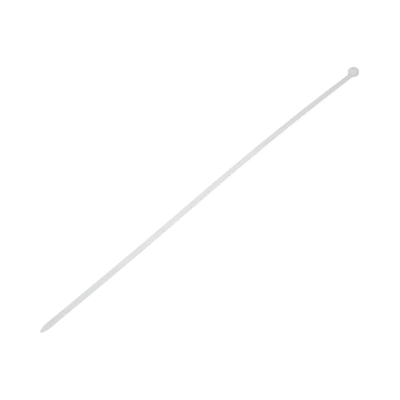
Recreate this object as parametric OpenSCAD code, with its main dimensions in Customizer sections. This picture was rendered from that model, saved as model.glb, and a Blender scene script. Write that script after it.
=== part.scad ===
// Cable tie: one nylon moulding with a toothed strap, a slotted head and a hinged pawl.
// It lies smooth side up with its teeth below, and it has the slight curl of the real one.
// Millimetres, +Z up. Origin: middle of the whole length and width, on the table.
// +X runs along the strap to the head. The pointed tail is at -X.

/* [Part] */
// Which part is drawn

/* [Strap] */
// Overall length from the tip of the tail to the far end of the head
tie_l = 430; // [380:5:450]
// Width of the strap
strap_w = 4.8; // [4.6:0.1:5]
// Thickness of the strap over its side rails
strap_t = 1.3; // [1.2:0.05:1.4]
// Radius on the four long edges of the strap
edge_r = 0.3; // [0.2:0.05:0.4]

/* [Curl] */
// Length of the tail that lies flat on the table
flat_l = 30; // [30:1:40]
// Steepest slope on the long climb from the tail, in degrees
rise_deg = 1.85; // [1.8:0.05:1.9]
// Slope with which the strap comes down to the head, in degrees
fall_deg = 2.85; // [2.85:0.05:3.1]
// Height of the underside of the strap over the table where it ends in the head
end_lift = 0.1; // [0.1:0.05:0.3]

/* [Rack] */
// Width of the toothed band between the two side rails
rack_w = 3.2; // [3:0.1:3.4]
// Pitch of the teeth
rack_pitch = 1.2; // [1.1:0.05:1.4]
// Depth of the tooth gaps under the side rails
root_d = 0.5; // [0.4:0.05:0.55]
// Depth of the tooth tips under the side rails
tip_d = 0.12; // [0.1:0.01:0.15]
// Share of the pitch that the steep face of a tooth takes
steep = 0.12; // [0.05:0.01:0.2]
// Length of plain strap between the flat tail and the first tooth
plain_l = 2; // [1:0.5:6]
// Length of plain strap between the last tooth and the head
smooth_l = 6; // [4:1:12]

/* [Tail] */
// Length of the pointed end
point_l = 5.5; // [5:0.5:9]
// Radius of the nose
nose_r = 1; // [0.8:0.1:1.2]
// Thickness of the strap at the nose
nose_t = 0.9; // [0.7:0.05:1.1]
// Number of grip grooves on each face of the tail
grip_n = 8; // [4:1:8]
// Pitch of the grip grooves
grip_pitch = 2.2; // [1.8:0.1:2.2]
// Width of a grip groove
grip_w = 0.9; // [0.6:0.1:1.2]
// Depth of a grip groove
grip_d = 0.2; // [0.1:0.05:0.25]

/* [Head] */
// Width of the head
head_w = 9.8; // [9.6:0.1:10.4]
// Height of the head
head_h = 5.6; // [5.4:0.1:6.2]
// Length of the parallel part of the head behind its round end
head_side_l = 2.2; // [1.8:0.1:2.6]
// Length over which the head narrows to the strap
neck_l = 3.8; // [3.4:0.1:4.2]
// Radius round the top of the head
head_edge_r = 2; // [1.6:0.1:2.1]
// Chamfer round the foot of the head
foot_c = 0.25; // [0.15:0.05:0.4]
// Thickness of the wall between the pawl pocket and the slope to the strap
neck_wall = 1.2; // [1:0.1:1.4]

/* [Slot and pawl] */
// Thickness of the wall that the back of the strap slides on
far_wall = 2.1; // [1.9:0.1:2.3]
// Play of the strap in the slot, across its width
slot_play_w = 0.4; // [0.3:0.05:0.5]
// Play of the strap in the slot, across its thickness
slot_play_t = 0.3; // [0.2:0.05:0.35]
// Chamfer round the mouth under the head and at the exit on top
mouth_c = 0.35; // [0.2:0.05:0.45]
// Depth of the pocket behind the slot in which the pawl bends
pocket_l = 2.3; // [2.2:0.1:2.4]
// Side gap between the pawl and its pocket
pawl_gap = 0.3; // [0.2:0.05:0.35]
// Play of the pawl between the rails of the strap
pawl_play = 0.3; // [0.2:0.05:0.4]
// Number of teeth on the pawl
pawl_n = 3; // [2:1:3]
// Distance by which the pawl teeth stand into the slot
pawl_reach = 0.35; // [0.2:0.05:0.4]
// Thickness of the tongue of the pawl
pawl_t = 1.15; // [1:0.05:1.2]
// Distance from the top of the head down to the top of the pawl
pawl_drop = 0.55; // [0.4:0.05:0.7]
// Height of the underside of the hinge over the table
hinge_z = 0.6; // [0.4:0.05:0.7]
// Thickness of the hinge
hinge_t = 0.55; // [0.45:0.05:0.65]
// Length of the hinge
hinge_l = 0.8; // [0.7:0.05:0.9]

/* [Hidden] */
// Fineness of small circles, and of the long arcs of the curl
$fn = 64;
curl_fn = 2880;
// Distance by which a cutter stands out of what it cuts
over = 1;
// Distance by which the strap and the hinge run into the body of the head
bite_strap = 1.5;
bite_hinge = 0.4;
// Ends of the tie, the start of the curl, and the head as a whole
x_far = tie_l / 2;
x_curl = flat_l - x_far;
head_r = head_w / 2;
head_l = head_r + head_side_l + neck_l;
// Two arcs: the first bends up from the table, the second bends down over the crown
curl_l = tie_l - flat_l - head_l + bite_strap;
rise_h = 1 - cos(rise_deg);
climb = sin(rise_deg) / rise_h;
drop = cos(rise_deg) - cos(fall_deg);
crown_fit = (curl_l - end_lift * climb) / (drop * climb + sin(rise_deg) + sin(fall_deg));
rise_fit = (end_lift + crown_fit * drop) / rise_h;
crown_r = round(crown_fit * 10) / 10;
rise_r = round(rise_fit * 10) / 10;
crown_x = x_curl + (rise_r + crown_r) * sin(rise_deg);
crown_z = rise_r - (rise_r + crown_r) * cos(rise_deg);
// Lengths along the arcs, and the teeth that they have room for
arc = PI / 180;
rise_arc_l = rise_r * rise_deg * arc;
crown_arc_l = crown_r * (rise_deg + fall_deg) * arc;
rack_room = rise_arc_l + crown_arc_l - bite_strap - smooth_l - plain_l;
rack_n = floor(rack_room / rack_pitch);
rack_l = rack_n * rack_pitch;
// Slot, pocket and pawl, measured from the far end of the head
slot_w = strap_w + slot_play_w;
slot_l = strap_t + slot_play_t;
pawl_w = rack_w - pawl_play;
pocket_w = pawl_w + 2 * pawl_gap;
pocket_end = far_wall + slot_l + pocket_l;
tooth_tip = far_wall + slot_l - pawl_reach;
tooth_root = tooth_tip + root_d - tip_d;
pawl_top = head_h - pawl_drop;
pawl_foot = pawl_top - pawl_n * rack_pitch;

// Point on the curled strap: s along its underside, d into its thickness
function strap_point(s, d) =
    s < rise_arc_l
    ? let (a = s / rise_r / arc)
        [x_curl + (rise_r - d) * sin(a), rise_r - (rise_r - d) * cos(a)]
    : let (a = rise_deg - (s - rise_arc_l) / crown_r / arc)
        [crown_x - (crown_r + d) * sin(a), crown_z + (crown_r + d) * cos(a)];

// Puts a flat shape upright along the tie: its x stays, its y turns up
module upright(w) {
    rotate([90, 0, 0])
        linear_extrude(w, center = true)
            children();
}

// Puts a flat shape across the tie: its x lies along Y, its y turns up
module across(l) {
    rotate([90, 0, 90])
        linear_extrude(l)
            children();
}

// Measures from the far end of the head, along the tie to the tail
module from_far_end() {
    translate([x_far, 0, 0])
        mirror([1, 0, 0])
            children();
}

// Section of the strap with round edges: x is its thickness from the underside
module strap_section() {
    for (t = [edge_r, strap_t - edge_r], s = [-1, 1])
        translate([t, s * (strap_w / 2 - edge_r)])
            circle(edge_r);
    translate([0, edge_r - strap_w / 2])
        square([strap_t, strap_w - 2 * edge_r]);
    translate([edge_r, -strap_w / 2])
        square([strap_t - 2 * edge_r, strap_w]);
}

// Outline of the tail from above: straight sides, a long point and a round nose
module tail_plan() {
    reach = point_l - nose_r;
    lean = atan2(strap_w / 2, reach) - asin(nose_r / norm([reach, strap_w / 2]));
    polygon(concat(
        [for (k = [-1 : 1 / 8 : 1])
            let (b = k * (90 - lean))
            nose_r * [1 - cos(b), sin(b)]],
        [
            [point_l, strap_w / 2],
            [point_l, strap_w],
            [flat_l + over, strap_w],
            [flat_l + over, -strap_w],
            [point_l, -strap_w],
            [point_l, -strap_w / 2]
        ]
    ));
}

// Flat end of the strap, pointed from above and thinner at the nose
module tail() {
    translate([-x_far, 0, 0])
        intersection() {
            rotate([0, 90, 0])
                mirror([1, 0, 0])
                    linear_extrude(flat_l)
                        strap_section();
            translate([0, 0, -over])
                linear_extrude(strap_t + 2 * over)
                    tail_plan();
            upright(strap_w + 2 * over)
                polygon([
                    [0, -over],
                    [0, nose_t],
                    [point_l, strap_t],
                    [point_l, strap_t + over],
                    [flat_l + over, strap_t + over],
                    [flat_l + over, -over]
                ]);
        }
}

// Shallow grooves across both faces of the tail, for the fingers
module grip_cut() {
    first = point_l + grip_pitch;
    for (i = [0 : grip_n - 1], z = [-over, strap_t - grip_d])
        translate([first - x_far + i * grip_pitch, -rack_w / 2, z])
            cube([grip_w, rack_w, over + grip_d]);
}

// Moves by v in two steps, so that the small digits of a long move are kept
module place(v) {
    coarse = [for (c = v) round(c * 10) / 10];
    translate(coarse)
        translate(v - coarse)
            children();
}

// Curled length of the strap: one arc bends up, one bends down on both sides of the crown
module curl() {
    place([x_curl, 0, rise_r])
        rotate([90, 90, 0])
            rotate_extrude(angle = rise_deg, $fn = curl_fn)
                translate([rise_r, 0])
                    mirror([1, 0])
                        strap_section();
    for (side = [[90, rise_deg], [-90, fall_deg]])
        place([crown_x, 0, crown_z])
            rotate([side[0], -90, 0])
                rotate_extrude(angle = side[1], $fn = curl_fn)
                    translate([crown_r, 0])
                        strap_section();
}

// Ratchet teeth sunk between the side rails, with their steep faces to the head
module rack_cut() {
    upright(rack_w)
        polygon(concat(
            [for (i = [0 : rack_n - 1], k = [0, 1])
                strap_point(plain_l + (i + k * (1 - steep)) * rack_pitch,
                    k == 0 ? root_d : tip_d)],
            [strap_point(plain_l + rack_l, root_d)],
            [for (s = [plain_l + rack_l, plain_l]) [strap_point(s, 0)[0], -over]]
        ));
}

// Half of the section of the head, with its round top edge and chamfered foot
module head_half_section() {
    square([head_r - head_edge_r, head_h]);
    translate([head_r - head_edge_r, head_h - head_edge_r])
        circle(head_edge_r);
    polygon([
        [0, 0],
        [head_r - foot_c, 0],
        [head_r, foot_c],
        [head_r, head_h - head_edge_r],
        [0, head_h - head_edge_r]
    ]);
}

// Solid head: a round end, parallel sides and a neck that slopes down to the strap
module head_blank() {
    neck_end_w = strap_w - 2 * edge_r;
    flare = (head_w - neck_end_w) / 2 / neck_l;
    wide = head_w + 2 * flare * head_side_l;
    translate([head_r, 0, 0])
        rotate([0, 0, 90])
            rotate_extrude(angle = 180)
                head_half_section();
    intersection() {
        translate([head_r, 0, 0])
            across(head_l - head_r) {
                head_half_section();
                mirror([1, 0])
                    head_half_section();
            }
        translate([0, 0, -over])
            linear_extrude(head_h + 2 * over)
                polygon([
                    [head_r, wide / 2],
                    [head_l, neck_end_w / 2],
                    [head_l, -neck_end_w / 2],
                    [head_r, -wide / 2]
                ]);
        upright(head_w + 2 * over)
            polygon([
                [head_r, -over],
                [head_r, head_h + over],
                [pocket_end + neck_wall, head_h + over],
                [pocket_end + neck_wall, head_h],
                [head_l, strap_t - edge_r],
                [head_l, -over]
            ]);
    }
}

// Slot for the strap, the pocket behind it, and chamfers at its two ends
module slot_cut() {
    tall = head_h + 2 * over;
    translate([far_wall, -slot_w / 2, -over])
        cube([slot_l, slot_w, tall]);
    translate([far_wall + slot_l / 2, -pocket_w / 2, -over])
        cube([slot_l / 2 + pocket_l, pocket_w, tall]);
    upright(slot_w) {
        polygon([
            [far_wall - 2 * mouth_c, -mouth_c],
            [far_wall + mouth_c, 2 * mouth_c],
            [far_wall + mouth_c, -mouth_c]
        ]);
        polygon([
            [far_wall - 2 * mouth_c, head_h + mouth_c],
            [far_wall + mouth_c, head_h - 2 * mouth_c],
            [far_wall + mouth_c, head_h + mouth_c]
        ]);
    }
    translate([far_wall, 0, 0])
        across(slot_l)
            for (s = [-1, 1])
                polygon([
                    [s * (slot_w / 2 + 2 * mouth_c), -mouth_c],
                    [s * (slot_w / 2 - mouth_c), 2 * mouth_c],
                    [s * (slot_w / 2 - mouth_c), -mouth_c]
                ]);
}

// Pawl: a tongue on a thin hinge, with teeth that let the strap pass upwards only
module pawl() {
    heel = pocket_end - hinge_l;
    upright(pawl_w)
        polygon(concat(
            [[pocket_end + bite_hinge, hinge_z], [heel - hinge_t, hinge_z]],
            [for (i = [0 : pawl_n - 1], k = [0, 1])
                [k == 0 ? tooth_root : tooth_tip,
                    pawl_foot + (i + k * (1 - steep)) * rack_pitch]],
            [
                [tooth_root, pawl_top],
                [tooth_root + pawl_t, pawl_top],
                [heel, hinge_z + 1.5 * hinge_t],
                [heel + hinge_t / 2, hinge_z + hinge_t],
                [pocket_end + bite_hinge, hinge_z + hinge_t]
            ]
        ));
}

// The whole moulding
module cable_tie() {
    color([0.9, 0.91, 0.9]) {
        difference() {
            union() {
                tail();
                curl();
                from_far_end()
                    head_blank();
            }
            rack_cut();
            grip_cut();
            from_far_end()
                slot_cut();
        }
        from_far_end()
            pawl();
    }
}

cable_tie();
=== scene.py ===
"""Looks of a long natural nylon cable tie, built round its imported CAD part."""

import logging
import math
from contextlib import contextmanager
from dataclasses import dataclass, field
from enum import Enum
from typing import Any, Callable, Iterable, Iterator, Sequence

import bmesh
import bpy
from mathutils import Matrix, Vector


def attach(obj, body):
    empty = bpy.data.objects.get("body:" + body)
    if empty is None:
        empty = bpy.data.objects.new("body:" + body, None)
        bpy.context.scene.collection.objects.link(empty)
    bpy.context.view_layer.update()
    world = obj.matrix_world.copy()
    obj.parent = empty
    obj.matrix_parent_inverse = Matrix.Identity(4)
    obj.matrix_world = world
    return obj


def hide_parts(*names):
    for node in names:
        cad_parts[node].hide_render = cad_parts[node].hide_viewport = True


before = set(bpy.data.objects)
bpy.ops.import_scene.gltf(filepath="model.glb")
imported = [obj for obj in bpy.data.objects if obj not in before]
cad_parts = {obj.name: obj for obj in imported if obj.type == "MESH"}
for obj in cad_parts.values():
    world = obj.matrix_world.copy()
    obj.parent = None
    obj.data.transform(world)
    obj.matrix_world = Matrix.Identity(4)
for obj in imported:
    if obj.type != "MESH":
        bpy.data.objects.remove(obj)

LOG = logging.getLogger("cable_tie")
WHITE = (1.0, 1.0, 1.0, 1.0)
NOISE_MEAN = 0.5
# Metres in a millimetre, and then lengths in millimetres that more than one class uses.
MM = 0.001
WELD = 1e-4
TIE_LENGTH = 430.0
TOOTH_PITCH = 1.2
Point = tuple[float, float]
Spot = tuple[float, float, float]
Colour = tuple[float, float, float]
Shade = "Colour | Signal"
Number = "float | Signal"
Key = int | str
Settings = dict[str, Any]
Inputs = dict[Key, Any]


class Plane(Enum):
    """The plane that a flat outline is drawn in, and so the way it is drawn out."""

    UPRIGHT = "outline in x and z, drawn out along y"
    ACROSS = "outline in y and z, drawn out along x"
    LEVEL = "outline in x and y, drawn out along z"


class Join(Enum):
    """How one solid is combined with another."""

    ADD = "UNION"
    CUT = "DIFFERENCE"
    KEEP = "INTERSECT"


class Ray(Enum):
    """The kinds of light path that a shader can tell apart."""

    CAMERA = "Is Camera Ray"
    GLOSSY = "Is Glossy Ray"


@dataclass(frozen=True)
class Pattern:
    """A soft random pattern.

    Args:
        waves: Waves to the metre along each axis.
        octaves: Number of octaves.
    """

    waves: Spot
    octaves: float


@contextmanager
def edited(mesh: bpy.types.Mesh) -> Iterator[bmesh.types.BMesh]:
    """Opens a mesh for editing, and writes it back afterwards.

    Args:
        mesh: The mesh.

    Yields:
        Its editable form.
    """
    work = bmesh.new()
    work.from_mesh(mesh)
    yield work
    work.to_mesh(mesh)
    work.free()


def aimed(name: str, data: bpy.types.ID, spot: Vector, ahead: Vector) -> bpy.types.Object:
    """Places a lamp or a camera that looks one way.

    Args:
        name: Name of the object.
        data: Its lamp or camera data.
        spot: Its place in metres.
        ahead: The way it looks.

    Returns:
        The object, linked to the scene.
    """
    made = bpy.data.objects.new(name, data)
    made.location = spot
    made.rotation_euler = ahead.to_track_quat("-Z", "Y").to_euler()
    bpy.context.scene.collection.objects.link(made)
    return made


class Signal:
    """One output socket of a shader graph that takes part in arithmetic."""

    def __init__(self, graph: "Graph", socket: bpy.types.NodeSocket) -> None:
        """Wraps a socket.

        Args:
            graph: The graph that the socket belongs to.
            socket: The output socket.
        """
        self.graph = graph
        self.socket = socket

    def _maths(self, operation: str, left: Number, right: Number) -> "Signal":
        """Adds one Math node.

        Args:
            operation: The node's operation.
            left: First operand.
            right: Second operand.

        Returns:
            The node's value.
        """
        return self.graph.node("ShaderNodeMath", {"operation": operation}, {0: left, 1: right})

    def __add__(self, other: Number) -> "Signal":
        """Returns self + other."""
        return self._maths("ADD", self, other)

    def __radd__(self, other: Number) -> "Signal":
        """Returns other + self."""
        return self._maths("ADD", other, self)

    def __sub__(self, other: Number) -> "Signal":
        """Returns self - other."""
        return self._maths("SUBTRACT", self, other)

    def __rsub__(self, other: Number) -> "Signal":
        """Returns other - self."""
        return self._maths("SUBTRACT", other, self)

    def __mul__(self, other: Number) -> "Signal":
        """Returns self * other."""
        return self._maths("MULTIPLY", self, other)

    def __rmul__(self, other: Number) -> "Signal":
        """Returns other * self."""
        return self._maths("MULTIPLY", other, self)

    def maximum(self, other: Number) -> "Signal":
        """Returns the larger of self and other."""
        return self._maths("MAXIMUM", self, other)

    def magnitude(self) -> "Signal":
        """Returns self without its sign."""
        return self._maths("ABSOLUTE", self, 0.0)

    def ramp(self, low: float, high: float) -> "Signal":
        """Turns a range of values into a smooth step from 0 to 1.

        Args:
            low: Value at which the step starts.
            high: Value at which the step ends.

        Returns:
            The step.
        """
        return self.graph.node(
            "ShaderNodeMapRange",
            {"interpolation_type": "SMOOTHSTEP"},
            {"Value": self, "From Min": low, "From Max": high},
        )


class Graph:
    """A node tree that is filled through one method."""

    def __init__(self, tree: bpy.types.NodeTree) -> None:
        """Empties a node tree.

        Args:
            tree: The tree of a material or a world.
        """
        self.tree = tree
        tree.nodes.clear()

    def add(self, kind: str, settings: Settings, inputs: Inputs) -> bpy.types.Node:
        """Adds a node.

        Args:
            kind: Its type.
            settings: Its properties, which are set first.
            inputs: Socket name or index to a value or a signal.

        Returns:
            The node.
        """
        made = self.tree.nodes.new(kind)
        for name, value in settings.items():
            setattr(made, name, value)
        for key, value in inputs.items():
            if isinstance(value, Signal):
                self.tree.links.new(value.socket, made.inputs[key])
            else:
                made.inputs[key].default_value = value
        return made

    def node(self, kind: str, settings: Settings, inputs: Inputs, output: Key = 0) -> Signal:
        """Adds a node and takes one of its outputs.

        Args:
            kind: Its type.
            settings: Its properties.
            inputs: Socket name or index to a value or a signal.
            output: Name or index of the output.

        Returns:
            The output as a signal.
        """
        return Signal(self, self.add(kind, settings, inputs).outputs[output])

    def place(self) -> Signal:
        """Returns the place on the object, in metres."""
        return self.node("ShaderNodeTexCoord", {}, {}, "Object")

    def ray(self, kind: Ray) -> Signal:
        """Returns 1 for rays of one kind and 0 for the others."""
        return self.node("ShaderNodeLightPath", {}, {}, kind.value)

    def distance(self, place: Signal) -> Signal:
        """Returns how far a place is from the origin."""
        return self.node("ShaderNodeVectorMath", {"operation": "LENGTH"}, {0: place}, "Value")

    def noise(self, place: Signal, pattern: Pattern) -> Signal:
        """Adds a soft random pattern.

        Args:
            place: Where it is read.
            pattern: The pattern.

        Returns:
            The pattern, which swings round 0 by up to a half.
        """
        spread = self.node(
            "ShaderNodeVectorMath", {"operation": "MULTIPLY"}, {0: place, 1: pattern.waves}
        )
        made = self.node(
            "ShaderNodeTexNoise",
            {},
            {"Vector": spread, "Scale": 1.0, "Detail": pattern.octaves},
        )
        return made - NOISE_MEAN

    def blend(self, share: Signal, low: Shade, high: Shade) -> Signal:
        """Mixes two colours.

        Args:
            share: Share of the second colour.
            low: First colour, or a signal.
            high: Second colour, or a signal.

        Returns:
            The mixed colour.
        """
        first, second = (c if isinstance(c, Signal) else (*c, 1.0) for c in (low, high))
        # The node has sockets for each data type: inputs 6 and 7 and output 2 are the colours.
        return self.node("ShaderNodeMix", {"data_type": "RGBA"}, {0: share, 6: first, 7: second}, 2)


@dataclass(frozen=True)
class Zone:
    """The places on the head where the finish and the painted light on the slot walls change, in
    metres.

    Args:
        neck: x at which the head starts.
        start: x of the wall behind the pawl.
        end: x of the far wall of the slot.
        half: Half of the width of the slot.
        top: Height of the head.
    """

    neck: float
    start: float
    end: float
    half: float
    top: float


@dataclass(frozen=True)
class NylonFinish:
    """Natural milky nylon, satin on the strap and a little duller on the head, with painted light
    on the walls of the slot.

    Args:
        pale: Lighter colour of the strap and the head.
        deep: Darker colour of the strap.
        thick: Darker colour of the head.
        painted_light: Colour of the painted light on the walls of the slot, a pale base colour in
            place of light that comes through the nylon.
        head_before: Metres before the head at which its look starts.
        head_after: Metres past the start of the head at which its look is full.
        pocket_past: Metres by which the painted light on the walls reaches past the pocket.
        slot_past: Metres by which it reaches past the slot, and stays under the top.
        slot_fade: Metres over which it fades.
        painted_shade_share: Share of the height, from the foot, over which the painted light grows
            in.
        cloud: Large clouds on the strap.
        flow: Streaks along the strap.
        swirl: Clouds on the head.
        grain: Fine grain of the mould.
        strap_pale: Share of the pale colour on the strap.
        strap_cloud: How much the clouds change it.
        strap_flow: How much the streaks change it.
        head_pale: Share of the pale colour on the head.
        head_swirl: How much the clouds change it.
        rough_flow: How much the streaks change the roughness.
        rough_grain: How much the grain changes it.
        relief_flow: Height of the streaks in the relief of the strap.
        relief_grain: Height of the grain in the relief.
        relief_head: What the head adds to the grain.
        roughness: Roughness of the strap.
        head_dull: What the head adds to the roughness.
        index: Index of refraction.
        glow: Share of the light that scatters under the surface.
        glow_radius: How far red, green and blue scatter, compared with each other.
        glow_depth: How far the light scatters, in metres.
        bump: Strength of the relief.
        bump_depth: Height of the relief in metres.
    """

    pale: Colour = (0.750, 0.758, 0.753)
    deep: Colour = (0.706, 0.724, 0.716)
    thick: Colour = (0.715, 0.750, 0.737)
    painted_light: Colour = (0.930, 0.945, 0.936)
    head_before: float = 0.0003
    head_after: float = 0.0015
    pocket_past: float = 0.0002
    slot_past: float = 0.0001
    slot_fade: float = 0.0001
    painted_shade_share: float = 1 / 3
    cloud: Pattern = Pattern((38.0, 38.0, 38.0), 3.0)
    flow: Pattern = Pattern((22.0, 700.0, 700.0), 2.0)
    swirl: Pattern = Pattern((420.0, 520.0, 300.0), 4.0)
    grain: Pattern = Pattern((5200.0, 5200.0, 5200.0), 2.0)
    strap_pale: float = 0.55
    strap_cloud: float = 1.6
    strap_flow: float = 0.9
    head_pale: float = 0.25
    head_swirl: float = 0.9
    rough_flow: float = 0.10
    rough_grain: float = 0.06
    relief_flow: float = 0.55
    relief_grain: float = 0.12
    relief_head: float = 0.35
    roughness: float = 0.36
    head_dull: float = 0.07
    index: float = 1.53
    glow: float = 0.12
    glow_radius: Spot = (1.0, 1.0, 0.9)
    glow_depth: float = 0.0012
    bump: float = 0.35
    bump_depth: float = 0.00006

    def painted_slot_light(self, zone: Zone, along: Signal, side: Signal, up: Signal) -> Signal:
        """Marks where light is painted on the walls of the slot, in place of light that comes
        through them.

        Args:
            zone: The places on the head.
            along: Distance along the tie.
            side: Distance to the side.
            up: Height over the table.

        Returns:
            1 deep inside the slot, where the painted light is full, and 0 elsewhere.
        """
        fade = self.slot_fade
        start, end = zone.start - self.pocket_past, zone.end + self.slot_past
        half, top = zone.half + self.slot_past, zone.top - self.slot_past
        after = along.ramp(start - fade, start)
        before = 1.0 - along.ramp(end, end + fade)
        between = 1.0 - side.magnitude().ramp(half, half + fade)
        under = 1.0 - up.ramp(top - fade, top)
        # Painted light grows from nothing at the foot of the walls, which leaves them darker low
        # down as painted shade.
        painted_light = up.ramp(0.0, top * self.painted_shade_share)
        return after * before * between * (painted_light * under)

    def material(self, zone: Zone) -> bpy.types.Material:
        """Builds the material.

        Args:
            zone: The places on the head where it changes.

        Returns:
            The new material.
        """
        made = bpy.data.materials.new("nylon_natural")
        made.use_nodes = True
        graph = Graph(made.node_tree)
        place = graph.place()
        along, side, up = (
            graph.node("ShaderNodeSeparateXYZ", {}, {"Vector": place}, axis) for axis in "XYZ"
        )
        head = along.ramp(zone.neck - self.head_before, zone.neck + self.head_after)
        cloud, flow, swirl, grain = (
            graph.noise(place, p) for p in (self.cloud, self.flow, self.swirl, self.grain)
        )
        strap_share = cloud * self.strap_cloud + flow * self.strap_flow + self.strap_pale
        head_share = swirl * self.head_swirl + self.head_pale
        strap_colour = graph.blend(strap_share.maximum(0.0), self.deep, self.pale)
        head_colour = graph.blend(head_share.maximum(0.0), self.thick, self.pale)
        colour = graph.blend(head, strap_colour, head_colour)
        rough = self.roughness + flow * self.rough_flow + grain * self.rough_grain
        relief = flow * (1.0 - head) * self.relief_flow
        relief = relief + grain * (self.relief_grain + head * self.relief_head)
        # Painted light: a paler base colour on the walls of the slot stands in for light that comes
        # through the nylon.
        walls = self.painted_slot_light(zone, along, side, up)
        bump = graph.node(
            "ShaderNodeBump",
            {},
            {"Strength": self.bump, "Distance": self.bump_depth, "Height": relief},
        )
        surface = graph.node(
            "ShaderNodeBsdfPrincipled",
            {},
            {
                "Base Color": graph.blend(walls, colour, self.painted_light),
                "Roughness": rough + head * self.head_dull,
                "IOR": self.index,
                "Subsurface Weight": self.glow,
                "Subsurface Radius": self.glow_radius,
                "Subsurface Scale": self.glow_depth,
                "Normal": bump,
            },
        )
        graph.add("ShaderNodeOutputMaterial", {}, {"Surface": surface})
        return made


@dataclass(frozen=True)
class FloorFinish:
    """White sheet that the camera sees as white, with only a faint shadow near the tie.

    Args:
        paper: Lightness of the sheet.
        roughness: Its roughness.
        tooth: Its fine tooth.
        tooth_rough: How much the tooth changes the roughness.
        lift: Strength of the white that the camera sees.
        lit_share: Share of that white near the tie.
        near: Metres from the middle up to which that share holds.
        far: Metres from the middle at which only the white is left.
    """

    paper: float = 0.86
    roughness: float = 0.9
    tooth: Pattern = Pattern((900.0, 900.0, 900.0), 3.0)
    tooth_rough: float = 0.08
    lift: float = 1.04
    lit_share: float = 0.86
    near: float = 0.15
    far: float = 0.38

    def material(self) -> bpy.types.Material:
        """Builds the material.

        Returns:
            The new material.
        """
        made = bpy.data.materials.new("floor_white")
        made.use_nodes = True
        graph = Graph(made.node_tree)
        place = graph.place()
        tooth = graph.noise(place, self.tooth)
        paper = graph.node(
            "ShaderNodeBsdfPrincipled",
            {},
            {
                "Base Color": (self.paper, self.paper, self.paper, 1.0),
                "Roughness": self.roughness + tooth * self.tooth_rough,
            },
        )
        light = graph.node("ShaderNodeEmission", {}, {"Strength": self.lift})
        away = graph.distance(place).ramp(self.near, self.far)
        share = graph.ray(Ray.CAMERA) * (self.lit_share + away * (1.0 - self.lit_share))
        surface = graph.node("ShaderNodeMixShader", {}, {0: share, 1: paper, 2: light})
        graph.add("ShaderNodeOutputMaterial", {}, {"Surface": surface})
        return made


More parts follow.
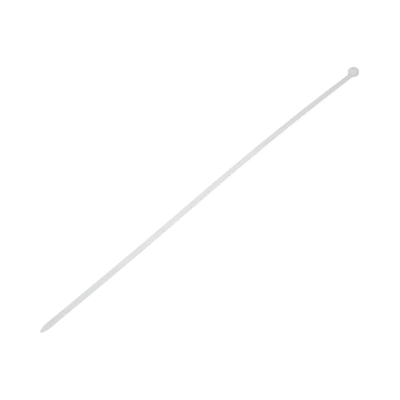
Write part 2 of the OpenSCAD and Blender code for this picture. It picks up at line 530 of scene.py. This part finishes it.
class Solid:
    """A closed mesh in millimetres that others can be added to or cut from."""

    def __init__(self, name: str, points: Iterable[Spot], faces: Iterable[Sequence[int]]) -> None:
        """Makes the mesh, joins corners that share a place and turns the faces outwards.

        Args:
            name: Name of the object.
            points: Corners in millimetres.
            faces: Corner numbers of each face.
        """
        mesh = bpy.data.meshes.new(name)
        mesh.from_pydata(list(points), [], [tuple(f) for f in faces])
        self.item = bpy.data.objects.new(name, mesh)
        bpy.context.scene.collection.objects.link(self.item)
        with edited(mesh) as work:
            bmesh.ops.remove_doubles(work, verts=work.verts, dist=WELD)
            bmesh.ops.dissolve_degenerate(work, edges=work.edges, dist=WELD)
            bmesh.ops.recalc_face_normals(work, faces=work.faces)

    @classmethod
    def drawn(
        cls, name: str, outline: Sequence[Point], plane: Plane, low: float, high: float
    ) -> "Solid":
        """Draws a flat outline out into a prism.

        Args:
            name: Name of the object.
            outline: Corners of the outline.
            plane: The plane of the outline.
            low: Where the prism starts.
            high: Where the prism ends.

        Returns:
            The prism.
        """
        turned: Callable[[Point, float], Spot] = {
            Plane.UPRIGHT: lambda p, t: (p[0], t, p[1]),
            Plane.ACROSS: lambda p, t: (t, p[0], p[1]),
            Plane.LEVEL: lambda p, t: (p[0], p[1], t),
        }[plane]
        return cls.stacked(name, [[turned(p, t) for p in outline] for t in (low, high)])

    @classmethod
    def stacked(cls, name: str, rings: Sequence[Sequence[Spot]]) -> "Solid":
        """Covers a row of rings that have the same number of corners.

        Args:
            name: Name of the object.
            rings: The rings from one end to the other.

        Returns:
            The solid, closed at both ends.
        """
        count = len(rings[0])
        points = [p for ring in rings for p in ring]
        last = len(points) - 1
        faces: list[Sequence[int]] = [range(count), range(last, last - count, -1)]
        for r in range(len(rings) - 1):
            for i in range(count):
                a, b = r * count + i, r * count + (i + 1) % count
                faces.append((a, b, b + count, a + count))
        return cls(name, points, faces)

    def simplify(self, reach: float, flat: float) -> None:
        """Joins faces that lie in one plane, and drops the short edges that a cut leaves.

        Args:
            reach: Length in millimetres under which an edge is dropped.
            flat: Turn in degrees under which two faces lie in one plane.
        """
        limit = math.radians(flat)
        with edited(self.item.data) as work:
            bmesh.ops.dissolve_limit(work, angle_limit=limit, verts=work.verts, edges=work.edges)
            bmesh.ops.remove_doubles(work, verts=work.verts, dist=reach)
            bmesh.ops.recalc_face_normals(work, faces=work.faces)

    def _settle(self) -> None:
        """Turns the object's modifiers into its own mesh."""
        graph = bpy.context.evaluated_depsgraph_get()
        settled = bpy.data.meshes.new_from_object(self.item.evaluated_get(graph))
        self.item.modifiers.clear()
        old, self.item.data = self.item.data, settled
        bpy.data.meshes.remove(old)

    def combine(self, join: Join, other: "Solid") -> "Solid":
        """Combines this solid with another, which is used up.

        Args:
            join: How they are combined.
            other: The other solid.

        Returns:
            This solid.
        """
        step = self.item.modifiers.new("combine", "BOOLEAN")
        step.operation = join.value
        step.solver = "EXACT"
        step.object = other.item
        self._settle()
        gone = other.item.data
        bpy.data.objects.remove(other.item)
        bpy.data.meshes.remove(gone)
        return self

    def soften(self, width: float, segments: int, angle: float) -> None:
        """Rounds the sharp edges.

        Args:
            width: Width of the rounding in millimetres.
            segments: Number of faces round an edge.
            angle: Smallest turn in degrees of an edge that is rounded.
        """
        step = self.item.modifiers.new("soften", "BEVEL")
        step.width = width
        step.segments = segments
        step.limit_method = "ANGLE"
        step.angle_limit = math.radians(angle)
        step.harden_normals = False
        step.use_clamp_overlap = False
        self._settle()

    def report(self, name: str) -> None:
        """Logs the faces and the edges that don't have two faces, 0 for a closed solid.

        Args:
            name: What the solid is called in the log.
        """
        work = bmesh.new()
        work.from_mesh(self.item.data)
        opened = sum(1 for e in work.edges if not e.is_manifold)
        LOG.info("%s: %d faces, %d open edges", name, len(work.faces), opened)
        work.free()

    def finished(self, sharp: float) -> bpy.types.Object:
        """Turns the solid into a smooth object in metres.

        Args:
            sharp: Turn in degrees over which an edge stays sharp.

        Returns:
            The object.
        """
        mesh = self.item.data
        mesh.transform(Matrix.Scale(MM, 4))
        mesh.shade_smooth()
        mesh.set_sharp_from_angle(angle=math.radians(sharp))
        even = self.item.modifiers.new("even_shading", "WEIGHTED_NORMAL")
        even.keep_sharp = True
        return self.item


@dataclass
class Station:
    """One section of the strap.

    Args:
        along: Distance along the underside from the end of the flat tail.
        half: Half of the width.
        thick: Thickness.
        corner: Radius of the long edges.
        under: Depth of the hollow in the underside.
        over: Depth of the hollow in the top.
    """

    along: float
    half: float
    thick: float
    corner: float
    under: float = 0.0
    over: float = 0.0


@dataclass
class Strap:
    """The whole strap: flat pointed tail, toothed curl and the plain end in the head.

    Args:
        head_length: Length of the head, from its far end to the strap.
        length: Length of the whole tie.
        width: Width of the strap.
        thick: Its thickness.
        edge: Radius of its long edges.
        flat: Length of the flat tail.
        rise_deg: Slope in degrees to which the strap bends up.
        fall_deg: Slope in degrees at which it comes down to the head.
        end_lift: Height of its underside at its end in the head.
        bite: How far it reaches into the head.
        band: Width of the rack.
        band_share: Largest half width of the rack, as a share of the flat half width.
        pitch: Length of a tooth.
        root: Depth of the rack at the root of a tooth.
        tip: Depth of the rack at the tip of a tooth.
        tooth: Corners of a tooth, as shares of the pitch and of the way from tip to root.
        plain: Length of plain strap between the flat tail and the rack.
        smooth: Length of plain strap kept free between the rack and the head.
        point: Length of the pointed end.
        nose_r: Radius of its nose.
        nose_t: Its thickness at the tip.
        nose_edge: Radius of its long edges at the tip.
        nose_share: Largest radius of its long edges, as a share of the half width.
        nose_steps: Number of sections round the nose.
        cone_steps: Number of sections from the nose to the full width.
        grips: Number of grip grooves on each face.
        grip_pitch: Distance from one groove to the next.
        grip_width: Width of a groove.
        grip_depth: Depth of a groove.
        groove: Corners of a groove, as shares of its width and of its depth.
        corner_steps: Number of faces round a long edge.
        plain_step: Longest distance between two sections of plain strap.
        gap: Distance between plain strap and the teeth or grooves beside it.
    """

    head_length: float
    length: float = TIE_LENGTH
    width: float = 4.8
    thick: float = 1.3
    edge: float = 0.3
    flat: float = 30.0
    rise_deg: float = 1.85
    fall_deg: float = 2.85
    end_lift: float = 0.1
    bite: float = 1.5
    band: float = 3.2
    band_share: float = 0.8
    pitch: float = TOOTH_PITCH
    root: float = 0.5
    tip: float = 0.12
    tooth: tuple[Point, ...] = ((0.0, 1.0), (0.05, 0.94), (0.82, 0.03), (0.88, 0.0))
    plain: float = 2.0
    smooth: float = 6.0
    point: float = 5.5
    nose_r: float = 1.0
    nose_t: float = 0.9
    nose_edge: float = 0.1
    nose_share: float = 0.45
    nose_steps: int = 12
    cone_steps: int = 6
    grips: int = 8
    grip_pitch: float = 2.2
    grip_width: float = 0.9
    grip_depth: float = 0.2
    groove: tuple[Point, ...] = ((0.0, 0.0), (0.12, 1.0), (0.88, 1.0), (1.0, 0.0))
    corner_steps: int = 4
    plain_step: float = 2.0
    gap: float = 0.3

    @property
    def start(self) -> float:
        """Returns x at the end of the flat tail."""
        return self.flat - self.length / 2

    @property
    def curled(self) -> float:
        """Measures the underside from the end of the flat tail to its end in the head.

        Returns:
            The length.
        """
        rise_r, crown_r = self.arcs()
        rise, fall = math.radians(self.rise_deg), math.radians(self.fall_deg)
        return rise_r * rise + crown_r * (rise + fall)

    def arcs(self) -> tuple[float, float]:
        """Finds the two arcs of the curl from its two slopes.

        Returns:
            Radius of the arc that bends up, and of the one over the crown.
        """
        rise, fall = math.radians(self.rise_deg), math.radians(self.fall_deg)
        room = self.length - self.flat - self.head_length + self.bite
        lift = 1 - math.cos(rise)
        climb = math.sin(rise) / lift
        drop = math.cos(rise) - math.cos(fall)
        crown = (room - self.end_lift * climb) / (drop * climb + math.sin(rise) + math.sin(fall))
        return round((self.end_lift + crown * drop) / lift, 1), round(crown, 1)

    def place(self, along: float, deep: float) -> Point:
        """Finds a point on the curled strap.

        Args:
            along: Distance along the underside from the end of the flat tail.
            deep: Height over the underside, inside the strap.

        Returns:
            Its x and z.
        """
        if along <= 0:
            return self.start + along, deep
        rise_r, crown_r = self.arcs()
        rise = math.radians(self.rise_deg)
        if along < rise_r * rise:
            turn, reach = along / rise_r, rise_r - deep
            return self.start + reach * math.sin(turn), rise_r - reach * math.cos(turn)
        turn, reach = rise - (along - rise_r * rise) / crown_r, crown_r + deep
        centre_x = self.start + (rise_r + crown_r) * math.sin(rise)
        centre_z = rise_r - (rise_r + crown_r) * math.cos(rise)
        return centre_x - reach * math.sin(turn), centre_z + reach * math.cos(turn)

    def ring(self, spot: Station) -> list[Spot]:
        """Places the corners of one section.

        Args:
            spot: The section.

        Returns:
            Its corners, once round.
        """
        low, high = spot.corner, spot.thick - spot.corner
        turns = [k / self.corner_steps * math.pi / 2 for k in range(self.corner_steps + 1)]
        round_off = [(spot.corner * math.sin(t), spot.corner * math.cos(t)) for t in turns]
        reach = spot.half - spot.corner
        inner = min(self.band / 2, self.band_share * reach)
        right = [(inner, spot.under), (inner, 0.0)]
        right += [(reach + s, low - c) for s, c in round_off]
        right += [(reach + c, high + s) for s, c in round_off]
        right += [(inner, spot.thick), (inner, spot.thick - spot.over)]
        both = right + [(-y, d) for y, d in reversed(right)]
        ring = []
        for y, deep in both:
            x, z = self.place(spot.along, deep)
            ring.append((x, y, z))
        return ring

    def nose(self) -> list[Station]:
        """Lays out the pointed end.

        Returns:
            Its sections, from the tip to the full width.
        """
        reach, full = self.point - self.nose_r, self.width / 2
        lean = math.atan2(full, reach) - math.asin(self.nose_r / math.hypot(reach, full))
        spots = []
        for k in range(1, self.nose_steps + 1):
            turn = k / self.nose_steps * (math.pi / 2 - lean)
            spots.append((self.nose_r * (1 - math.cos(turn)), self.nose_r * math.sin(turn)))
        last_u, last_half = spots[-1]
        for k in range(1, self.cone_steps + 1):
            share = k / self.cone_steps
            along = last_u + share * (self.point - last_u)
            spots.append((along, last_half + share * (full - last_half)))
        row = []
        for u, half in spots:
            thick = self.nose_t + (self.thick - self.nose_t) * u / self.point
            corner = self.nose_edge + (self.edge - self.nose_edge) * u / self.point
            row.append(Station(u - self.flat, half, thick, min(corner, self.nose_share * half)))
        return row

    def section(self, along: float, under: float = 0.0, over: float = 0.0) -> Station:
        """Lays out a section of the full width and thickness."""
        return Station(along, self.width / 2, self.thick, self.edge, under, over)

    def plain_row(self, start: float, end: float) -> list[Station]:
        """Lays out plain strap.

        Args:
            start: Distance along at its start.
            end: Distance along at its end.

        Returns:
            Its sections.
        """
        steps = max(1, math.ceil((end - start) / self.plain_step))
        return [self.section(start + (end - start) * k / steps) for k in range(steps + 1)]

    def grip_row(self) -> list[Station]:
        """Lays out the grip grooves of the tail.

        Returns:
            Four sections to a groove.
        """
        row = []
        for i in range(self.grips):
            start = self.point + (i + 1) * self.grip_pitch - self.flat
            for mark, deep in self.groove:
                depth = deep * self.grip_depth
                row.append(self.section(start + mark * self.grip_width, depth, depth))
        return row

    def teeth(self) -> int:
        """Counts the teeth that fit.

        Returns:
            The count.
        """
        room = self.curled - self.bite - self.smooth - self.plain
        return math.floor(room / self.pitch)

    def rack_row(self) -> list[Station]:
        """Lays out the teeth, with their steep faces to the head.

        Returns:
            Four sections to a tooth, and a wall at each end.
        """
        row = [self.section(self.plain)]
        count = self.teeth()
        for i in range(count):
            for mark, deep in self.tooth:
                depth = self.tip + (self.root - self.tip) * deep
                row.append(self.section(self.plain + (i + mark) * self.pitch, depth))
        end = self.plain + count * self.pitch
        return [*row, self.section(end, self.root), self.section(end)]

    def solid(self) -> Solid:
        """Builds the strap.

        Returns:
            The closed strap.
        """
        grips, rack = self.grip_row(), self.rack_row()
        row = [
            *self.nose(),
            *grips,
            *self.plain_row(grips[-1].along + self.gap, rack[0].along - self.gap),
            *rack,
            *self.plain_row(rack[-1].along + self.gap, self.curled),
        ]
        return Solid.stacked("strap", [self.ring(spot) for spot in row])


@dataclass
class Pawl:
    """The toothed tongue on its thin hinge.

    Args:
        wall_u: Distance from the far end of the head to the wall that it hangs on.
        width: Its width.
        teeth: Number of its teeth.
        pitch: Height of a tooth.
        steep: Share of that height that the steep face takes.
        thick: Thickness behind the roots, at the top.
        tip_u: Distance from the far end of the head to the tips.
        root_u: Distance from the far end of the head to the roots.
        top: Height of its top.
        hinge_z: Height of the underside of the hinge.
        hinge_t: Thickness of the hinge.
        hinge_l: Length of the hinge.
        heel_rise: Height of the heel over that underside, in thicknesses of the hinge.
        bite: How far the hinge reaches into the wall.
    """

    wall_u: float
    width: float = 2.9
    teeth: int = 3
    pitch: float = TOOTH_PITCH
    steep: float = 0.12
    thick: float = 1.15
    tip_u: float = 3.35
    root_u: float = 3.73
    top: float = 5.05
    hinge_z: float = 0.6
    hinge_t: float = 0.55
    hinge_l: float = 0.8
    heel_rise: float = 1.5
    bite: float = 0.4

    def solid(self, far: float) -> Solid:
        """Builds the pawl.

        Args:
            far: x of the far end of the head.

        Returns:
            The closed pawl.
        """
        heel, rooted = self.wall_u - self.hinge_l, self.wall_u + self.bite
        foot = self.top - self.teeth * self.pitch
        side: list[Point] = [(rooted, self.hinge_z), (heel - self.hinge_t, self.hinge_z)]
        for i in range(self.teeth):
            side.append((self.root_u, foot + i * self.pitch))
            side.append((self.tip_u, foot + (i + 1 - self.steep) * self.pitch))
        side += [
            (self.root_u, self.top),
            (self.root_u + self.thick, self.top),
            (heel, self.hinge_z + self.heel_rise * self.hinge_t),
            (heel + self.hinge_t / 2, self.hinge_z + self.hinge_t),
            (rooted, self.hinge_z + self.hinge_t),
        ]
        outline = [(far - u, z) for u, z in side]
        return Solid.drawn("pawl", outline, Plane.UPRIGHT, -self.width / 2, self.width / 2)


@dataclass
class Head:
    """The locking head, with the slot for the strap and the pocket for the pawl.

    Args:
        far: x of its far end.
        width: Its width.
        height: Its height.
        side: Length of its straight sides.
        neck: Length of the neck.
        edge: Radius of the round top edge.
        foot: Chamfer of the foot.
        neck_wall: Length of the top between the pocket and the slope of the neck.
        neck_width: Width of the neck at the strap.
        neck_height: Height of the neck at the strap.
        far_wall: Thickness of the wall beyond the slot.
        slot_w: Width of the slot.
        slot_l: Length of the slot, along the tie.
        pocket_l: Length of the pocket past the slot.
        pocket_w: Width of the pocket.
        mouth: Chamfer of the slot.
        over: How far cutters reach past the head.
        slope_half: Half of the width of the cutter that slopes the neck.
        soft: Width of the rounding of the other edges, half as much on the pawl.
        soft_steps: Number of faces round such an edge of the head.
        pawl_steps: Number of faces round such an edge of the pawl.
        soft_from: Smallest turn in degrees of an edge that is rounded.
        flat: Turn in degrees under which two faces lie in one plane.
        shortest: Length under which an edge is dropped.
        turns: Number of steps round the far end.
        steps: Number of steps round the top edge.
        pawl: The pawl.
    """

    far: float = TIE_LENGTH / 2
    width: float = 9.8
    height: float = 5.6
    side: float = 2.2
    neck: float = 3.8
    edge: float = 2.0
    foot: float = 0.25
    neck_wall: float = 1.2
    neck_width: float = 4.2
    neck_height: float = 1.0
    far_wall: float = 2.1
    slot_w: float = 5.2
    slot_l: float = 1.6
    pocket_l: float = 2.3
    pocket_w: float = 3.5
    mouth: float = 0.35
    over: float = 1.0
    slope_half: float = 9.0
    soft: float = 0.12
    soft_steps: int = 3
    pawl_steps: int = 2
    soft_from: float = 28.0
    flat: float = 0.6
    shortest: float = 0.05
    turns: int = 36
    steps: int = 10
    pawl: Pawl = field(init=False)

    def __post_init__(self) -> None:
        """Hangs the pawl on the wall behind its pocket."""
        self.pawl = Pawl(self.pocket_end)

    @property
    def length(self) -> float:
        """Returns the length from the far end to the strap."""
        return self.width / 2 + self.side + self.neck

    @property
    def pocket_end(self) -> float:
        """Returns the distance from the far end to the wall behind the pawl."""
        return self.far_wall + self.slot_l + self.pocket_l

    def zone(self) -> Zone:
        """Places what the finish needs to know of the head.

        Returns:
            The places in metres.
        """
        return Zone(
            neck=MM * (self.far - self.length),
            start=MM * (self.far - self.pocket_end),
            end=MM * (self.far - self.far_wall),
            half=MM * self.slot_w / 2,
            top=MM * self.height,
        )

    def outlined(self, outline: Sequence[Point]) -> list[Point]:
        """Turns distances from the far end into x.

        Args:
            outline: Corners whose first value is a distance from the far end.

        Returns:
            The corners in the frame.
        """
        return [(self.far - u, v) for u, v in outline]

    def blank(self) -> Solid:
        """Builds the head without its slot.

        Returns:
            The closed blank.
        """
        radius = self.width / 2
        profile: list[Point] = [(radius - self.foot, 0.0), (radius, self.foot)]
        for k in range(self.steps + 1):
            turn = k / self.steps * math.pi / 2
            reach = radius - self.edge + self.edge * math.cos(turn)
            profile.append((reach, self.height - self.edge + self.edge * math.sin(turn)))
        rings = []
        centre = self.far - radius
        for reach, z in profile:
            ring = [(self.far - self.length, -reach, z)]
            for k in range(self.turns + 1):
                turn = math.pi * (k / self.turns - 0.5)
                ring.append((centre + reach * math.cos(turn), reach * math.sin(turn), z))
            rings.append([*ring, (self.far - self.length, reach, z)])
        made = Solid.stacked("head", rings)
        made.combine(Join.KEEP, self.plan())
        return made.combine(Join.CUT, self.slope())

    def plan(self) -> Solid:
        """Builds the form that the neck is narrowed to.

        Returns:
            The form, as seen from above.
        """
        flare = (self.width - self.neck_width) / 2 / self.neck
        thin = self.neck_width / 2
        wide = thin + flare * (self.length + self.over)
        side = [(-self.over, wide), (self.length, thin)]
        outline = side + [(u, -v) for u, v in reversed(side)]
        top = self.height + self.over
        return Solid.drawn("plan", self.outlined(outline), Plane.LEVEL, -self.over, top)

    def slope(self) -> Solid:
        """Builds the cutter that slopes the neck down to the strap.

        Returns:
            The cutter.
        """
        crest = self.pocket_end + self.neck_wall
        drop = self.over * (self.height - self.neck_height) / (self.length - crest)
        side = [
            (crest - self.over, self.height + drop),
            (self.length + self.over, self.neck_height - drop),
            (self.length + self.over, self.height + drop),
        ]
        reach = self.slope_half
        return Solid.drawn("slope", self.outlined(side), Plane.UPRIGHT, -reach, reach)

    def shaft(self, name: str, start: float, end: float, width: float) -> Solid:
        """Builds a cutter that goes right through the head.

        Args:
            name: Name of the object.
            start: Where it starts, from the far end.
            end: Where it ends.
            width: Its width.

        Returns:
            The cutter.
        """
        low, high = -self.over, self.height + self.over
        corners = [(start, low), (end, low), (end, high), (start, high)]
        return Solid.drawn(name, self.outlined(corners), Plane.UPRIGHT, -width / 2, width / 2)

    def openings(self) -> list[Solid]:
        """Builds the slot, the pocket and the chamfers as cutters.

        Returns:
            The cutters.
        """
        a, b, c = self.far_wall, self.far_wall + self.slot_l, self.mouth
        half, high = self.slot_w / 2, self.height
        cuts = [
            self.shaft("slot", a, b, self.slot_w),
            self.shaft("pocket", (a + b) / 2, self.pocket_end, self.pocket_w),
        ]
        for corners in (
            [(a - 2 * c, -c), (a + c, 2 * c), (a + c, -c)],
            [(a - 2 * c, high + c), (a + c, high - 2 * c), (a + c, high + c)],
        ):
            cuts.append(Solid.drawn("mouth", self.outlined(corners), Plane.UPRIGHT, -half, half))
        for s in (-1, 1):
            corners = [(s * (half + 2 * c), -c), (s * (half - c), 2 * c), (s * (half - c), -c)]
            ends = (self.far - b, self.far - a)
            cuts.append(Solid.drawn("side_mouth", corners, Plane.ACROSS, *ends))
        return cuts

    def solid(self) -> Solid:
        """Builds the whole head with its pawl.

        Returns:
            The closed head.
        """
        made = self.blank()
        made.simplify(self.shortest, self.flat)
        made.soften(self.soft, self.soft_steps, self.soft_from)
        for cutter in self.openings():
            made.combine(Join.CUT, cutter)
        tongue = self.pawl.solid(self.far)
        tongue.soften(self.soft / 2, self.pawl_steps, self.soft_from)
        return made.combine(Join.ADD, tongue)


@dataclass
class CableTie:
    """The one moulding, from its strap and its head.

    Args:
        head: The head.
        strap: The strap, which is fitted to the head.
        finish: The finish of both.
        name: Name of the piece.
        sharp: Turn in degrees over which an edge stays sharp.
    """

    head: Head = field(default_factory=Head)
    strap: Strap = field(init=False)
    finish: NylonFinish = field(default_factory=NylonFinish)
    name: str = "cable_tie_moulding"
    sharp: float = 52.0

    def __post_init__(self) -> None:
        """Fits the strap to the head."""
        self.strap = Strap(self.head.length)

    def build(self) -> bpy.types.Object:
        """Builds the tie and puts it in place of the CAD node.

        Returns:
            The tie.
        """
        made = self.head.solid()
        made.report("head")
        strap = self.strap.solid()
        strap.report("strap")
        made.combine(Join.ADD, strap)
        made.report("tie")
        item = made.finished(self.sharp)
        item.name = self.name
        item.data.materials.clear()
        item.data.materials.append(self.finish.material(self.head.zone()))
        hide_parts("cable_tie")
        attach(item, "root")
        return item


@dataclass
class Studio:
    """White surroundings, a soft lamp on the camera's side, a low one beyond the tail, a floor.

    Args:
        surround: Strength of the surroundings as a light.
        lamp_x: x of the soft lamp, in metres.
        lamp_y: y of the soft lamp.
        lamp_height: Height of the soft lamp.
        lamp_size: Its side in metres.
        lamp_power: Its power in watts.
        low_strength: Strength of the low lamp.
        low_elevation: Its height over the floor, in degrees.
        low_spread: How wide it looks from the tie, in degrees.
        floor_side: Side of the floor in metres.
        floor_cells: Number of faces along a side.
        floor_drop: Gap between the floor and the tie, in metres.
        floor: Finish of the floor.
    """

    surround: float = 0.684
    lamp_x: float = -0.058
    lamp_y: float = -0.12
    lamp_height: float = 0.29
    lamp_size: float = 0.18
    lamp_power: float = 0.375
    low_strength: float = 0.1
    low_elevation: float = 38.0
    low_spread: float = 50.0
    floor_side: float = 40.0
    floor_cells: int = 8
    floor_drop: float = 0.00002
    floor: FloorFinish = field(default_factory=FloorFinish)

    def world(self) -> bpy.types.World:
        """Builds the surroundings, which the camera sees as white.

        Returns:
            The world.
        """
        made = bpy.data.worlds.new("studio")
        bpy.context.scene.world = made
        made.use_nodes = True
        graph = Graph(made.node_tree)
        direct = graph.ray(Ray.CAMERA).maximum(graph.ray(Ray.GLOSSY))
        strength = self.surround + direct * (1.0 - self.surround)
        light = graph.node("ShaderNodeBackground", {}, {"Color": WHITE, "Strength": strength})
        graph.add("ShaderNodeOutputWorld", {}, {"Surface": light})
        return made

    def lamp(self) -> bpy.types.Object:
        """Hangs the soft lamp on the camera's side of the tie, aimed at the strap.

        Returns:
            The lamp.
        """
        light = bpy.data.lights.new("overhead", "AREA")
        light.shape = "SQUARE"
        light.size = self.lamp_size
        light.energy = self.lamp_power
        spot = Vector((self.lamp_x, self.lamp_y, self.lamp_height))
        return aimed("overhead", light, spot, Vector((0.0, -self.lamp_y, -self.lamp_height)))

    def low_lamp(self) -> bpy.types.Object:
        """Lights the tie from low down beyond its tail, which brings out the curl.

        Returns:
            The lamp.
        """
        light = bpy.data.lights.new("low", "SUN")
        light.energy = self.low_strength
        light.angle = math.radians(self.low_spread)
        rise = math.radians(self.low_elevation)
        return aimed("low", light, Vector(), Vector((math.cos(rise), 0.0, -math.sin(rise))))

    def ground(self) -> bpy.types.Object:
        """Lays the floor just under the tie.

        Returns:
            The floor.
        """
        cells, reach = self.floor_cells, self.floor_side / 2
        mesh = bpy.data.meshes.new("floor")
        with edited(mesh) as work:
            bmesh.ops.create_grid(work, x_segments=cells, y_segments=cells, size=reach)
        made = bpy.data.objects.new("floor", mesh)
        made.location = (0.0, 0.0, -self.floor_drop)
        bpy.context.scene.collection.objects.link(made)
        mesh.materials.append(self.floor.material())
        return made


@dataclass
class PhotoCamera:
    """The camera at the photo's place, looking along the tie from its tail side.

    Args:
        look: The place that it looks at, in metres.
        azimuth: The way that it looks, in degrees from y to x.
        elevation: How far it looks down, in degrees.
        distance: Its distance from that place.
        lens: Length of its lens in millimetres.
        sensor: Width of its sensor in millimetres.
        near: Nearest distance that it sees, in metres.
        far: Farthest distance that it sees.
    """

    look: Spot = (-0.03021, 0.00062, 0.0)
    azimuth: float = 52.417
    elevation: float = 39.5
    distance: float = 0.8356
    lens: float = 92.22
    sensor: float = 36.0
    near: float = 0.01
    far: float = 60.0

    def build(self) -> bpy.types.Object:
        """Places the camera.

        Returns:
            The camera.
        """
        a, e = math.radians(self.azimuth), math.radians(self.elevation)
        ahead = Vector((math.sin(a) * math.cos(e), math.cos(a) * math.cos(e), -math.sin(e)))
        data = bpy.data.cameras.new("photo_camera")
        data.lens = self.lens
        data.sensor_width = self.sensor
        data.clip_start = self.near
        data.clip_end = self.far
        made = aimed("photo_camera", data, Vector(self.look) - ahead * self.distance, ahead)
        bpy.context.scene.camera = made
        return made


def main() -> None:
    """Builds the tie, the studio and the camera."""
    logging.basicConfig(level=logging.INFO, format="%(name)s: %(message)s")
    bpy.context.scene.view_settings.view_transform = "Standard"
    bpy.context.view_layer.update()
    tie = CableTie().build()
    LOG.info("tie: %s", tie.name)
    studio = Studio()
    for made in (studio.world(), studio.lamp(), studio.low_lamp(), studio.ground()):
        LOG.info("studio: %s", made.name)
    LOG.info("camera: %s", PhotoCamera().build().name)


if __name__ == "__main__":
    main()
